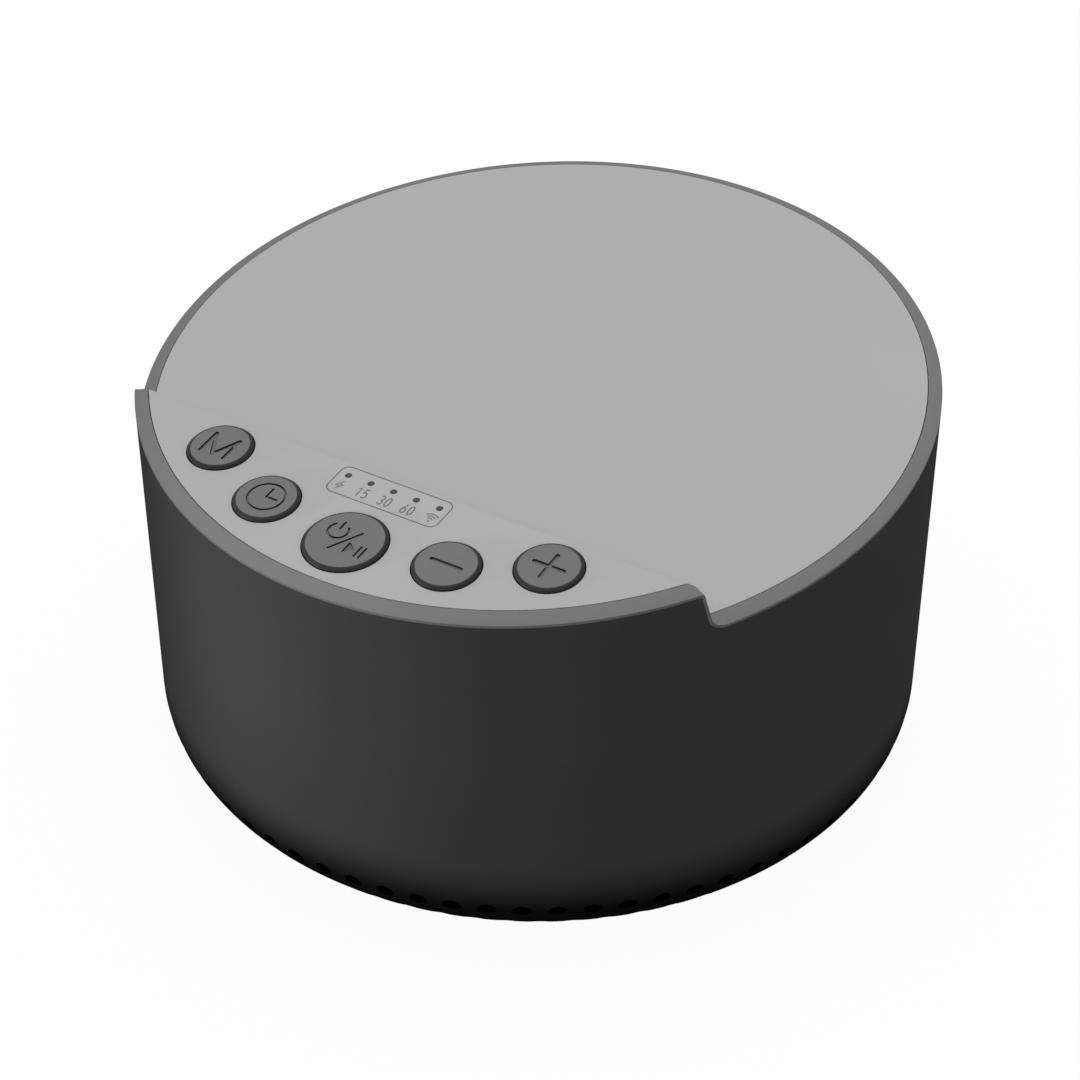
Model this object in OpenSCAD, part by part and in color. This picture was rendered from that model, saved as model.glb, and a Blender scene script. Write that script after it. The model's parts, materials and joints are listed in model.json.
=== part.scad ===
// White noise sound machine: a round case with a sloping top, a raised control panel at the
// front, five buttons, and a loudspeaker that faces down through the perforated base.
// Millimetres. +Z is up, the front is -Y, and the origin is on the table below the case's axis.

/* [Case] */
// Outer diameter of the case
case_d = 104; // [100:0.5:126]
// Height of the main top face above the table, at the case's axis
top_h = 53.4; // [50:0.1:66]
// Thickness of the shell's wall and floor
wall = 2; // [1.7:0.1:2.4]
// Radius of the rounded lower edge of the case
base_round = 10; // [6.5:0.5:10]
// Height at which the rubber feet hold the case off the table
foot_gap = 0.8; // [0.5:0.1:1.5]

/* [Top] */
// Slope of the main top face, which falls towards the front, in degrees
main_slope = 6.5; // [4:0.1:8]
// Slope of the control panel, in degrees
panel_slope = 7.3; // [5:0.1:9]
// Height of the panel's plane above the main face's plane, at the case's axis
panel_rise = 6; // [5:0.1:7.5]
// Depth of the panel, from the front of the case to the panel's back edge
panel_depth = 21.5; // [20.5:0.1:23]
// Run of the riser behind the panel, from its top edge to its foot
riser_run = 1.2; // [0.9:0.1:2.4]
// Radius along the riser's top edge
riser_top_r = 1; // [0.7:0.1:1.5]
// Radius along the riser's foot
riser_foot_r = 1; // [0.4:0.1:1.4]
// Thickness of the top cover
cover_t = 2; // [1.6:0.1:2.4]
// Width of the trim ring that surrounds the cover
ring_w = 1.8; // [1.5:0.1:1.9]
// Thickness of the trim ring's visible lip
ring_t = 1; // [0.8:0.1:1.3]

/* [Buttons] */
// Diameter of the cover's holes for the four small buttons
button_hole_d = 8.7; // [7.5:0.1:9.4]
// Diameter of the cover's hole for the power button
power_hole_d = 10.8; // [9:0.1:11]
// Distance from the case's outside to the buttons' centres
button_inset = 8.6; // [8.4:0.1:9.2]
// Angle from the power button to each neighbour, in degrees
near_angle = 17.5; // [17:0.1:19]
// Angle from the power button to each outermost button, in degrees
far_angle = 33.5; // [33:0.1:36]
// Height of the buttons' faces above the panel
button_proud = 0.45; // [0.3:0.05:0.8]
// Radius of the buttons' rounded upper edge
button_edge_r = 0.5; // [0.3:0.05:0.6]
// How far a button travels when it is pressed
button_travel = 0.4; // [0.3:0.05:0.5]
// Depth of the symbols engraved in the buttons
legend_depth = 0.3; // [0.1:0.05:0.4]

/* [Indicators] */
// Distance between the indicator points
led_pitch = 3.33; // [2.8:0.01:3.6]
// Diameter of the indicator points
led_d = 0.8; // [0.7:0.05:1.2]
// Distance from the panel's back edge to the row of indicator points
led_inset = 2.7; // [2.5:0.1:3.2]

/* [Perforation] */
// Diameter of the holes in the base
vent_d = 2.5; // [1.6:0.1:2.8]
// Number of holes in each row round the rounded edge
edge_vents = 73; // [60:1:80]
// Distance between the rings of holes below the loudspeaker
vent_ring_pitch = 5; // [4:0.1:5.5]

/* [Loudspeaker] */
// Outer diameter of the loudspeaker's basket
speaker_d = 52; // [46:0.5:54]
// Height of the loudspeaker's flange above the shell's floor
speaker_lift = 4.2; // [3.5:0.1:5]
// Diameter of the voice coil's former
coil_d = 12; // [10:0.5:14]
// Diameter of the magnet
magnet_d = 32; // [28:0.5:34]
// Thickness of the magnet
magnet_t = 5; // [4:0.1:6]
// How far the cone travels each way from rest
cone_travel = 1; // [0.5:0.1:1.2]

/* [Battery and boards] */
// Diameter of the battery cell
cell_d = 18.4; // [16:0.1:18.6]
// Length of the battery cell
cell_l = 65; // [50:0.5:66]
// Width of the main board
main_board_w = 53; // [48:0.5:54]
// Depth of the main board, front to back
main_board_l = 30; // [28:0.5:32]
// Thickness of the circuit boards
board_t = 1.2; // [1:0.1:1.6]
// Gap between the cover's underside and the control board
board_gap = 0.55; // [0.4:0.05:1.5]
// Distance from the case's outside to the screw columns' centres
column_inset = 16; // [15.5:0.1:17]

/* [Charging port] */
// Width of the charging socket
port_w = 8.9; // [7.5:0.1:9.5]
// Height of the charging socket
port_h = 3.2; // [2.6:0.1:3.4]
// Height of the port board above the shell's floor
port_lift = 8.5; // [7:0.1:12]

/* [Hidden] */
$fn = 96;

// Colours
SHELL_GREY = [0.2, 0.2, 0.2];
COVER_GREY = [0.68, 0.68, 0.68];
TRIM_GREY = [0.45, 0.45, 0.45];
BOARD_GREEN = [0.08, 0.3, 0.16];
STEEL = [0.72, 0.73, 0.75];
BLACK = [0.06, 0.06, 0.06];
CREAM = [0.9, 0.87, 0.78];
COPPER = [0.75, 0.4, 0.2];

// Clearances
cover_gap = 0.1;
button_gap = 0.15;
plunger_gap = 0.08;
screw_gap = 0.05;
free_gap = 0.3;
big = 200;

// The case and its top
case_r = case_d / 2;
inner_r = case_r - wall;
floor_z = foot_gap + wall;
panel_h = top_h + panel_rise;
cover_r = case_r - ring_w - cover_gap;
skirt_t = 0.8;
skirt_r = case_r - ring_w + skirt_t;
skirt_depth = cover_t + 3.2;

// A line of the top's outline in the Y-Z plane is a point and its direction, which runs from
// the back to the front. The solid is on its left, so the left normal points into the case.
function heading(a) = [cos(a), sin(a)];
function left(u) = [-u[1], u[0]];
function cross2(a, b) = a[0] * b[1] - a[1] * b[0];
function meet(p, u, q, v) = p + u * cross2(q - p, v) / cross2(u, v);

panel_back_y = panel_depth - case_r;
riser_foot_y = panel_back_y + riser_run;
riser_top = [panel_back_y, panel_h + panel_back_y * tan(panel_slope)];
riser_foot = [riser_foot_y, top_h + riser_foot_y * tan(main_slope)];
main_dir = heading(180 + main_slope);
panel_dir = heading(180 + panel_slope);
riser_angle = atan2(riser_top[1] - riser_foot[1], riser_top[0] - riser_foot[0]);
riser_dir = heading(riser_angle);
foot_turn = 180 + main_slope - riser_angle;
top_turn = 180 + panel_slope - riser_angle;

// Points of a rounded corner c between the directions a and a + turn, with radius r
function corner(c, a, turn, r, steps = 8) =
    let (
        side = sign(turn),
        start = c - heading(a) * r * tan(abs(turn) / 2),
        centre = start + left(heading(a)) * side * r
    )
    [for (i = [0:steps]) centre - left(heading(a + turn * i / steps)) * side * r];

// The top's outline, moved d into the case along its own normal. The foot's radius stays within
// the riser's face.
function outline(d) =
    let (
        m = [0, top_h] + left(main_dir) * d,
        p = [0, panel_h] + left(panel_dir) * d,
        r = riser_foot + left(riser_dir) * d,
        c1 = meet(m, main_dir, r, riser_dir),
        c2 = meet(r, riser_dir, p, panel_dir),
        top_r = max(riser_top_r - d, 0.05),
        foot_room = norm(c2 - c1) - top_r * tan(top_turn / 2) - 0.1,
        foot_r = min(riser_foot_r + d, foot_room / tan(foot_turn / 2)),
        reach = case_r + 5
    )
    concat(
        [[reach, -5], m - main_dir * reach],
        corner(c1, 180 + main_slope, -foot_turn, foot_r),
        corner(c2, riser_angle, top_turn, top_r),
        [p + panel_dir * reach, [-reach, -5]]
    );

// Everything below the top surface moved d into the case
module below(d) {
    rotate([90, 0, 90])
        linear_extrude(height = case_d + 10, center = true)
            polygon(outline(d));
}

// Point in the Y-Z plane above a place on the panel, with z along the panel's normal
function on_panel_section(y, z) =
    [y, panel_h + y * tan(panel_slope)] + z * heading(90 + panel_slope);

module tube(r_in, r_out, h) {
    difference() {
        cylinder(r = r_out, h = h);
        translate([0, 0, -1])
            cylinder(r = r_in, h = h + 2);
    }
}

// The part of a tube between two depths below the top surface
module layer(r_in, r_out, d_top, d_bottom) {
    difference() {
        intersection() {
            if (r_in > 0)
                tube(r_in, r_out, big);
            else
                cylinder(r = r_out, h = big);
            below(d_top);
        }
        below(d_bottom);
    }
}

// Places its children on the panel: x across, y up the slope, z out of the panel's face
module on_panel(x = 0, y = 0, z = 0) {
    translate([0, 0, panel_h])
        rotate([panel_slope, 0, 0])
            translate([x, y / cos(panel_slope), z])
                children();
}

// A ring-shaped solid of revolution whose section is a rounded rectangle's upper half
module rounded_disc(r, h, e) {
    rotate_extrude()
        union() {
            square([r - e, h]);
            square([r, h - e]);
            translate([r - e, h - e])
                circle(r = e);
        }
}

// Screw that points along +Z, with its head below z = 0
module screw(shank_r, length, head_r, head_h) {
    difference() {
        union() {
            cylinder(r = shank_r, h = length);
            translate([0, 0, -head_h])
                cylinder(r = head_r, h = head_h);
        }
        for (a = [0, 90])
            rotate([0, 0, a])
                translate([-head_r * 0.6, -head_r * 0.13, -head_h - 0.01])
                    cube([head_r * 1.2, head_r * 0.26, head_h * 0.5]);
    }
}

// Leads: two side by side along a smooth curve through a list of points
lead_r = 0.55;
lead_spread = 0.65;

function unit(v) = v / norm(v);
function along(p, i) = unit(p[min(i + 1, len(p) - 1)] - p[max(i - 1, 0)]);
function square_to(v, u) = unit(v - (v * u) * u);
function smooth(p, steps = 4) = [
    for (i = [0:len(p) - 2], k = [0:steps - 1])
        let (
            a = p[max(i - 1, 0)],
            b = p[i],
            c = p[i + 1],
            d = p[min(i + 2, len(p) - 1)],
            t = k / steps
        )
        0.5 * (2 * b + (c - a) * t + (2 * a - 5 * b + 4 * c - d) * t * t
            + (3 * b - a - 3 * c + d) * t * t * t),
    p[len(p) - 1]
];

// Each end of the pair is square to the last stretch of its list of points
module lead_pair(points) {
    sides = 8;
    p = smooth(points);
    n = len(p);
    last = len(points) - 1;
    heads = [
        unit(points[1] - points[0]),
        for (i = [1:n - 2]) along(p, i),
        unit(points[last] - points[last - 1])
    ];
    across = [
        for (
            i = 0, v = square_to([heads[0][1], heads[0][2], heads[0][0]], heads[0]);
            i < n;
            i = i + 1, v = square_to(v, heads[min(i, n - 1)])
        )
            v
    ];
    skin = [
        for (i = [0:n - 2], k = [0:sides - 1])
            let (k2 = (k + 1) % sides)
            [i * sides + k, i * sides + k2, (i + 1) * sides + k2, (i + 1) * sides + k]
    ];
    caps = [
        [for (k = [sides - 1:-1:0]) k],
        [for (k = [0:sides - 1]) (n - 1) * sides + k]
    ];
    for (side = [-1, 1])
        polyhedron(
            points = [
                for (i = [0:n - 1], k = [0:sides - 1])
                    let (v = across[i], w = cross(heads[i], v), a = k * 360 / sides)
                    p[i] + (side * lead_spread + lead_r * cos(a)) * v + lead_r * sin(a) * w
            ],
            faces = concat(skin, caps),
            convexity = 8
        );
}

// Box with its centre in x and y, and its lower face at z = 0
module block(w, l, h) {
    translate([-w / 2, -l / 2, 0])
        cube([w, l, h]);
}

// Buttons: name order is mode, timer, power, minus, plus
button_r = case_r - button_inset;
button_angles = [-far_angle, -near_angle, 0, near_angle, far_angle];
button_holes = [button_hole_d, button_hole_d, power_hole_d, button_hole_d, button_hole_d];
flange_w = 0.4;
flange_t = 0.8;
flange_gap = 0.05;
relief_h = 4;
stem_r = 1.4;
cap_t = 1.2;
plunger_r = 1.2;
plunger_l = 1.6;
plunger_top = -(cover_t + 2.6);
switch_w = 4.6;
switch_top = plunger_top - button_travel - 0.05;

// The ring's ledge, which the cover rests on, ends just outside the power button's flange
ledge_t = 1.4;
ledge_r = button_r + power_hole_d / 2 + flange_w + 0.2;

function button_x(i) = button_r * sin(button_angles[i]);
function button_y(i) = -button_r * cos(button_angles[i]);

module at_button(i, z = 0) {
    on_panel(button_x(i), button_y(i), z)
        children();
}

module button_blank(hole_d) {
    r = hole_d / 2 - button_gap;
    flange_z = -(cover_t + flange_gap + flange_t);
    difference() {
        union() {
            translate([0, 0, flange_z])
                rounded_disc(r, button_proud - flange_z, button_edge_r);
            translate([0, 0, flange_z])
                cylinder(r = hole_d / 2 + flange_w, h = flange_t);
        }
        translate([0, 0, flange_z - 1])
            cylinder(r = r - cap_t, h = button_proud - cap_t - flange_z + 1);
    }
    translate([0, 0, plunger_top])
        cylinder(r = stem_r, h = button_proud - cap_t / 2 - plunger_top);
}

// One engraved line with round ends, which are a hair wider so that they cross its sides
module stroke(a, b, w) {
    d = b - a;
    translate(a)
        rotate(atan2(d[1], d[0]))
            translate([0, -w / 2])
                square([norm(d), w]);
    for (p = [a, b])
        translate(p)
            circle(d = w * 1.03, $fn = 24);
}

module path(points, w) {
    for (i = [0:len(points) - 2])
        stroke(points[i], points[i + 1], w);
}

module ring(r, w) {
    difference() {
        circle(r = r + w / 2);
        circle(r = r - w / 2);
    }
}

broad = 0.55;
fine = 0.3;

module mode_symbol() {
    half_w = 1.8;
    half_h = 1.75;
    path([[-half_w, -half_h], [-half_w, half_h], [0, -half_h], [half_w, half_h], [half_w, -half_h]], broad);
}

module timer_symbol() {
    ring(2.35, fine);
    path([[0, 1.5], [0, 0], [1.5, 0]], fine);
}

module power_symbol() {
    power_r = 1.3;
    gap_half_angle = 45;
    translate([-1.65, 1]) {
        difference() {
            ring(power_r, fine);
            polygon([[0, 0], 3 * heading(90 - gap_half_angle), 3 * heading(90 + gap_half_angle)]);
        }
        for (side = [-1, 1])
            translate(power_r * heading(90 + side * gap_half_angle))
                circle(d = fine * 1.03, $fn = 24);
        stroke([0, 0.4], [0, 1.6], fine);
    }
    stroke([-1.05, -2.1], [1.3, 1.85], fine);
    polygon([[0.75, 0], [0.75, -2], [2.05, -1]]);
    for (x = [2.55, 3.2])
        stroke([x, -0.2], [x, -1.9], fine);
}

module minus_symbol() {
    stroke([-2, 0], [2, 0], broad);
}

module plus_symbol() {
    minus_symbol();
    rotate(90)
        minus_symbol();
}

module button(i) {
    at_button(i)
        difference() {
            button_blank(button_holes[i]);
            translate([0, 0, button_proud - legend_depth])
                linear_extrude(height = 1)
                    children();
        }
}

module button_mode() {
    color(TRIM_GREY)
        button(0)
            mode_symbol();
}

module button_timer() {
    color(TRIM_GREY)
        button(1)
            timer_symbol();
}

module button_power() {
    color(TRIM_GREY)
        button(2)
            power_symbol();
}

module button_minus() {
    color(TRIM_GREY)
        button(3)
            minus_symbol();
}

module button_plus() {
    color(TRIM_GREY)
        button(4)
            plus_symbol();
}

module plunger(i) {
    color(BLACK)
        at_button(i, plunger_top - plunger_l)
            cylinder(r = plunger_r, h = plunger_l);
}

module tact_switches() {
    bore_l = plunger_l + 0.1;
    color(STEEL)
        for (i = [0:4])
            at_button(i)
                difference() {
                    translate([0, 0, -board_drop])
                        block(switch_w, switch_w, board_drop + switch_top);
                    translate([0, 0, switch_top - bore_l])
                        cylinder(r = plunger_r + plunger_gap, h = bore_l + 1);
                }
}

// Screw columns: two beside the main board and two behind the battery
column_r = case_r - column_inset;
column_angles = [-62, 62, 150, -150];
column_outer_r = 4;
post_r = 3.2;
case_screw_r = 1.3;
case_head_r = 2.4;
case_head_h = 1.8;
case_screw_grip = 5.5;
case_screw_l = 16;
case_bore_r = case_screw_r + screw_gap;

module at_columns() {
    for (a = column_angles)
        translate([column_r * sin(a), -column_r * cos(a), 0])
            children();
}

// Loudspeaker: heights, from the flange up to the yoke
speaker_r = speaker_d / 2;
speaker_z = floor_z + speaker_lift;
gasket_t = 0.8;
gasket_w = 1.6;
basket_h = 10;
plate_t = 2;
top_plate_z = speaker_z + basket_h;
magnet_z = top_plate_z + plate_t;
yoke_z = magnet_z + magnet_t;
coil_r = coil_d / 2;
former_t = 0.2;
winding_t = 0.5;
pole_r = coil_r - former_t - 0.4;
speaker_lug_r = speaker_r + 2.5;
lug_r = 3;
speaker_boss_r = 2.5;
tab_w = 6;
tab_l = 4.5;
tab_r = speaker_r + tab_l - 2.2;
speaker_screw_r = 0.9;
speaker_screw_l = 4.5;
flange_h = 1.2;
land_t = 0.3;
land_z = speaker_z + flange_h - land_t;
rim_w = 1.1;
roll_r = 1.6;
roll_centre_r = speaker_r - 4.1;
cone_rim_r = roll_centre_r - roll_r;
cone_rim_z = land_z + land_t;
cone_r = cone_rim_r - rim_w;
neck_z = speaker_z + 6;
cone_slope = (neck_z - cone_rim_z) / (cone_r - coil_r);

// Inner frame, boards and battery
frame_z = yoke_z + plate_t + 1.5;
frame_t = 2;
frame_top = frame_z + frame_t;
frame_r = column_r + 4.5;
cell_r = cell_d / 2;
cell_y = 15;
cell_z = frame_top + 1 + cell_r;
saddle_x = 20;
saddle_w = 4;
saddle_l = 23;
saddle_h = 7;
stop_t = 1.6;
stop_w = 10;
stop_h = 6;
standoff_h = 3;
standoff_r = 2.2;
main_board_y = -16.5;
main_board_z = frame_top + standoff_h;
main_top = main_board_z + board_t;
board_hole_inset = 3;
board_screw_r = 0.9;
board_screw_l = 4;
lead_slot_r = 2.6;
speaker_slot = [-34, -1];
port_slot = [8, 35];

module at_main_board_holes() {
    for (x = [-1, 1], y = [-1, 1])
        translate([x * (main_board_w / 2 - board_hole_inset),
            main_board_y + y * (main_board_l / 2 - board_hole_inset), 0])
            children();
}

// Control board, held by four bosses under the panel
panel_step = riser_top[1] - top_h - panel_back_y * tan(main_slope);
board_drop = max(panel_step, 4) + cover_t + board_gap;
boss_r = 1.6;
boss_screw_r = 0.75;
boss_screw_l = 3.5;
board_edge_gap = 3;
boss_inner_x = 14.2;
boss_inset = 2.3;
boss_y = panel_back_y - boss_inset;
// The outer bosses stand clear of the outermost buttons' flanges
boss_reach = button_hole_d / 2 + flange_w + boss_r + 0.35;
boss_lag = boss_y + button_r * cos(far_angle);
boss_outer_x = button_r * sin(far_angle) + sqrt(max(pow(boss_reach, 2) - pow(boss_lag, 2), 0));

module at_board_bosses(z) {
    for (x = [-boss_outer_x, -boss_inner_x, boss_inner_x, boss_outer_x])
        on_panel(x, boss_y, z)
            children();
}

// Charging port at the back
port_board_w = 20;
port_board_l = 13;
port_l = 7.5;
port_gap = 0.3;
port_board_z = floor_z + port_lift;
port_board_y = inner_r - 1.5 - port_board_l / 2;
port_y = case_r - 1.3 - port_l / 2;
port_z = port_board_z + board_t + port_h / 2;
port_boss_x = 7.5;
port_boss_y = port_board_y - 3.5;
port_boss_r = 2.2;

// Slot with round ends along X, extruded along Y and centred on the origin
module slot_y(w, h, l) {
    rotate([90, 0, 0]) {
        for (side = [-1, 1])
            translate([side * (w - h) / 2, 0, -l / 2])
                cylinder(d = h, h = l, $fn = 48);
        translate([-(w - h) / 2, -h / 2, -l / 2])
            cube([w - h, h, l]);
    }
}

// Solid of revolution with a rounded lower edge
module bowl(r, z, round_r) {
    rotate_extrude() {
        translate([0, z])
            square([r - round_r, big]);
        translate([0, z + round_r])
            square([r, big]);
        translate([r - round_r, z + round_r])
            circle(r = round_r);
    }
}

// Holes through the rounded edge, in rows at these angles below the horizontal
edge_row_angles = [18, 45, 72];
vent_rings = floor((speaker_r - 5) / vent_ring_pitch);
foot_r = 5.5;
foot_sink = 1.2;
foot_plug_r = 2.5;
foot_plug_h = 3;

module edge_perforation() {
    for (k = [0:len(edge_row_angles) - 1], i = [0:edge_vents - 1])
        rotate([0, 0, (i + k / 2) * 360 / edge_vents - 90])
            translate([case_r - base_round, 0, foot_gap + base_round])
                rotate([0, 90 + edge_row_angles[k], 0])
                    translate([0, 0, base_round - wall - 1])
                        cylinder(d = vent_d, h = wall + 2, $fn = 24);
}

module floor_perforation() {
    for (k = [0:vent_rings])
        for (i = [0:max(6 * k, 1) - 1])
            rotate([0, 0, i * 60 / max(k, 1)])
                translate([k * vent_ring_pitch, 0, foot_gap - 1])
                    cylinder(d = vent_d, h = wall + 2, $fn = 24);
}

module speaker_seat() {
    ring_h = speaker_lift - gasket_t;
    translate([0, 0, floor_z - 0.5])
        tube(speaker_r - gasket_w, speaker_r, ring_h + 0.5);
    for (a = [45:90:315])
        rotate([0, 0, a])
            translate([speaker_lug_r, 0, floor_z - 0.5])
                cylinder(r = speaker_boss_r, h = speaker_lift + 0.5);
}

module body_shell() {
    color(SHELL_GREY)
        difference() {
            union() {
                difference() {
                    intersection() {
                        bowl(case_r, foot_gap, base_round);
                        below(ring_t);
                    }
                    bowl(inner_r, floor_z, base_round - wall);
                    intersection() {
                        cylinder(r = skirt_r + cover_gap, h = big);
                        difference() {
                            below(0);
                            below(skirt_depth + cover_gap);
                        }
                    }
                }
                at_columns()
                    translate([0, 0, floor_z - 0.5])
                        cylinder(r = column_outer_r, h = frame_z - floor_z + 0.5);
                speaker_seat();
                for (side = [-1, 1])
                    translate([side * port_boss_x, port_boss_y, floor_z - 0.5])
                        cylinder(r = port_boss_r, h = port_lift + 0.5);
            }
            at_columns() {
                translate([0, 0, -1])
                    cylinder(r = case_head_r + free_gap, h = frame_z - case_screw_grip + 1);
                cylinder(r = case_screw_r + free_gap, h = big);
                cylinder(r = foot_r + free_gap / 2, h = foot_gap + foot_sink);
            }
            for (a = [45:90:315])
                rotate([0, 0, a])
                    translate([speaker_lug_r, 0, floor_z])
                        cylinder(r = speaker_screw_r + screw_gap, h = big);
            for (side = [-1, 1])
                translate([side * port_boss_x, port_boss_y, floor_z + 2])
                    cylinder(r = board_screw_r + screw_gap, h = port_lift);
            translate([0, case_r, port_z])
                slot_y(port_w + 2 * port_gap, port_h + 2 * port_gap, 4 * wall);
            edge_perforation();
            floor_perforation();
        }
}

module trim_ring() {
    lip_r = case_r - ring_w;
    color(TRIM_GREY)
        union() {
            layer(lip_r, case_r, 0, ring_t);
            layer(lip_r, skirt_r, ring_t / 2, skirt_depth);
            layer(ledge_r, lip_r + skirt_t / 2, cover_t, cover_t + ledge_t);
        }
}

module top_cover() {
    color(COVER_GREY)
        difference() {
            union() {
                layer(0, cover_r, 0, cover_t);
                intersection() {
                    below(cover_t / 2);
                    at_columns()
                        translate([0, 0, frame_top])
                            cylinder(r = post_r, h = big);
                }
                at_board_bosses(-board_drop)
                    cylinder(r = boss_r, h = board_drop - cover_t / 2);
            }
            for (i = [0:4])
                at_button(i, -cover_t - 2)
                    cylinder(d = button_holes[i], h = cover_t + 4);
            // Reliefs in the riser's wall for the outermost buttons' flanges
            for (i = [0, 4])
                at_button(i, -cover_t - relief_h)
                    cylinder(r = button_holes[i] / 2 + flange_w + 0.25, h = relief_h - 0.02);
            for (i = [-2:2])
                on_panel(i * led_pitch, panel_back_y - led_inset, -cover_t - 1)
                    cylinder(d = led_d + 0.1, h = cover_t + 2, $fn = 24);
            at_columns()
                translate([0, 0, frame_top - 1])
                    cylinder(r = case_bore_r, h = case_screw_l - case_screw_grip);
            at_board_bosses(-board_drop - 1)
                cylinder(r = boss_screw_r + screw_gap, h = boss_screw_l + 1);
        }
}

module control_board() {
    edge_r = inner_r - board_edge_gap;
    back_y = (panel_back_y - 0.6) / cos(panel_slope);
    side_x = boss_outer_x + 2.5;
    color(BOARD_GREEN)
        difference() {
            on_panel(0, 0, -board_drop - board_t)
                linear_extrude(height = board_t)
                    intersection() {
                        circle(r = edge_r);
                        translate([-side_x, back_y - big])
                            square([2 * side_x, big]);
                    }
            at_board_bosses(-board_drop - board_t - 1)
                cylinder(r = boss_screw_r + free_gap / 2, h = board_t + 2);
        }
}

module control_board_screws() {
    color(STEEL)
        at_board_bosses(-board_drop - board_t)
            screw(boss_screw_r, board_t + boss_screw_l - 0.5, 1.5, 0.9);
}

led_h = 0.6;

module indicator_leds() {
    color(CREAM)
        for (i = [-2:2])
            on_panel(i * led_pitch, panel_back_y - led_inset, -board_drop)
                block(1.6, 0.8, led_h);
}

module light_guide() {
    bar_t = 1.2;
    leg_r = 0.8;
    led_y = panel_back_y - led_inset;
    // The bar's back edge stops short of the riser's inner face
    inner_corner = meet(
        riser_foot + left(riser_dir) * cover_t, riser_dir,
        [0, panel_h] + left(panel_dir) * cover_t, panel_dir
    );
    back_y = inner_corner[0] - cover_t * sin(panel_slope) - 0.2;
    front_y = led_y - 1.6;
    bar_z = -cover_t - bar_t;
    leg_z = led_h + free_gap - board_drop;
    color([0.25, 0.25, 0.25])
        union() {
            on_panel(0, (front_y + back_y) / 2, bar_z)
                block(4 * led_pitch + 2.8, back_y - front_y, bar_t);
            for (i = [-2:2])
                on_panel(i * led_pitch, led_y) {
                    translate([0, 0, bar_z + bar_t / 2])
                        cylinder(d = led_d, h = -bar_z - bar_t / 2, $fn = 24);
                    translate([0, 0, leg_z])
                        cylinder(r = leg_r, h = bar_z - leg_z + bar_t / 2, $fn = 24);
                }
        }
}

// Ribbon cable: a strip along a curve in the Y-Z plane, from the front of the control board's
// socket to the front of the main board's socket
ribbon_w = 8;
ribbon_t = 0.3;
ribbon_socket = [10, 3, 1.8];
ribbon_board_y = panel_back_y - 5;
ribbon_from = on_panel_section(ribbon_board_y, -board_drop - board_t - ribbon_socket[2] / 2)
    - heading(panel_slope) * ribbon_socket[1] / 2;
ribbon_to = [main_board_y - main_board_l / 2 + 2, main_top + ribbon_socket[2] / 2];
function bezier(a, b, c, d, t) =
    a * pow(1 - t, 3) + b * 3 * t * pow(1 - t, 2) + c * 3 * t * t * (1 - t) + d * pow(t, 3);

module ribbon_cable() {
    steps = 16;
    slack = 6;
    from = ribbon_from;
    to = ribbon_to;
    centre = [
        for (i = [0:steps])
            bezier(from, from - slack * heading(panel_slope), to - [slack, 0], to, i / steps)
    ];
    side = [
        left(heading(180 + panel_slope)),
        for (i = [1:steps - 1]) left(along(centre, i)),
        [0, 1]
    ] * ribbon_t / 2;
    color(CREAM)
        rotate([90, 0, 90])
            linear_extrude(height = ribbon_w, center = true)
                polygon(concat(
                    [for (i = [0:steps]) centre[i] + side[i]],
                    [for (i = [steps:-1:0]) centre[i] - side[i]]
                ));
}

module inner_frame() {
    color(SHELL_GREY)
        difference() {
            union() {
                translate([0, 0, frame_z])
                    cylinder(r = frame_r, h = frame_t);
                at_main_board_holes()
                    translate([0, 0, frame_top - 0.5])
                        cylinder(r = standoff_r, h = standoff_h + 0.5);
                for (side = [-1, 1]) {
                    translate([side * saddle_x, cell_y, frame_top - 0.5])
                        block(saddle_w, saddle_l, saddle_h + 0.5);
                    translate([side * (cell_l / 2 + free_gap + stop_t / 2), cell_y, frame_top - 0.5])
                        block(stop_t, stop_w, stop_h + 0.5);
                }
            }
            translate([-cell_l / 2 - 0.1, cell_y, cell_z])
                rotate([0, 90, 0])
                    cylinder(r = cell_r + 0.05, h = cell_l + 0.2);
            at_columns()
                cylinder(r = case_screw_r + free_gap, h = big);
            at_main_board_holes()
                translate([0, 0, frame_z + 0.5])
                    cylinder(r = board_screw_r + screw_gap, h = big);
            for (p = [speaker_slot, port_slot])
                translate([p[0], p[1], frame_z - 1])
                    cylinder(r = lead_slot_r, h = frame_t + 2);
        }
}

module main_board() {
    color(BOARD_GREEN)
        difference() {
            translate([0, main_board_y, main_board_z])
                block(main_board_w, main_board_l, board_t);
            at_main_board_holes()
                cylinder(r = board_screw_r + free_gap / 2, h = big);
        }
}

// Screw that points down from z = 0
module screw_down(shank_r, length, head_r, head_h) {
    rotate([180, 0, 0])
        screw(shank_r, length, head_r, head_h);
}

module main_board_screws() {
    color(STEEL)
        at_main_board_holes()
            translate([0, 0, main_top])
                screw_down(board_screw_r, board_screw_l, 1.7, 1);
}

// Places its children on the main board's upper face
module on_main_board(x, y) {
    translate([x, main_board_y + y, main_top])
        children();
}

module board_chips() {
    color(BLACK) {
        on_main_board(0, 1)
            block(7, 7, 0.9);
        on_main_board(-10, -4)
            block(5, 6, 1.2);
        on_main_board(10, 5)
            block(5, 4, 1.2);
        on_main_board(-11, 7)
            block(4, 4, 0.8);
    }
}

module radio_shield() {
    color(STEEL)
        on_main_board(13, -6)
            block(11, 9, 1.8);
}

module capacitors() {
    color(STEEL)
        for (x = [-3.5, 3.5])
            on_main_board(x, 10)
                rounded_disc(2.5, 6, 0.5);
}

module inductor() {
    color(BLACK)
        on_main_board(17, 4)
            difference() {
                block(6, 6, 3);
                translate([0, 0, 2.6])
                    cylinder(r = 2.2, h = 1);
            }
}

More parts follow.
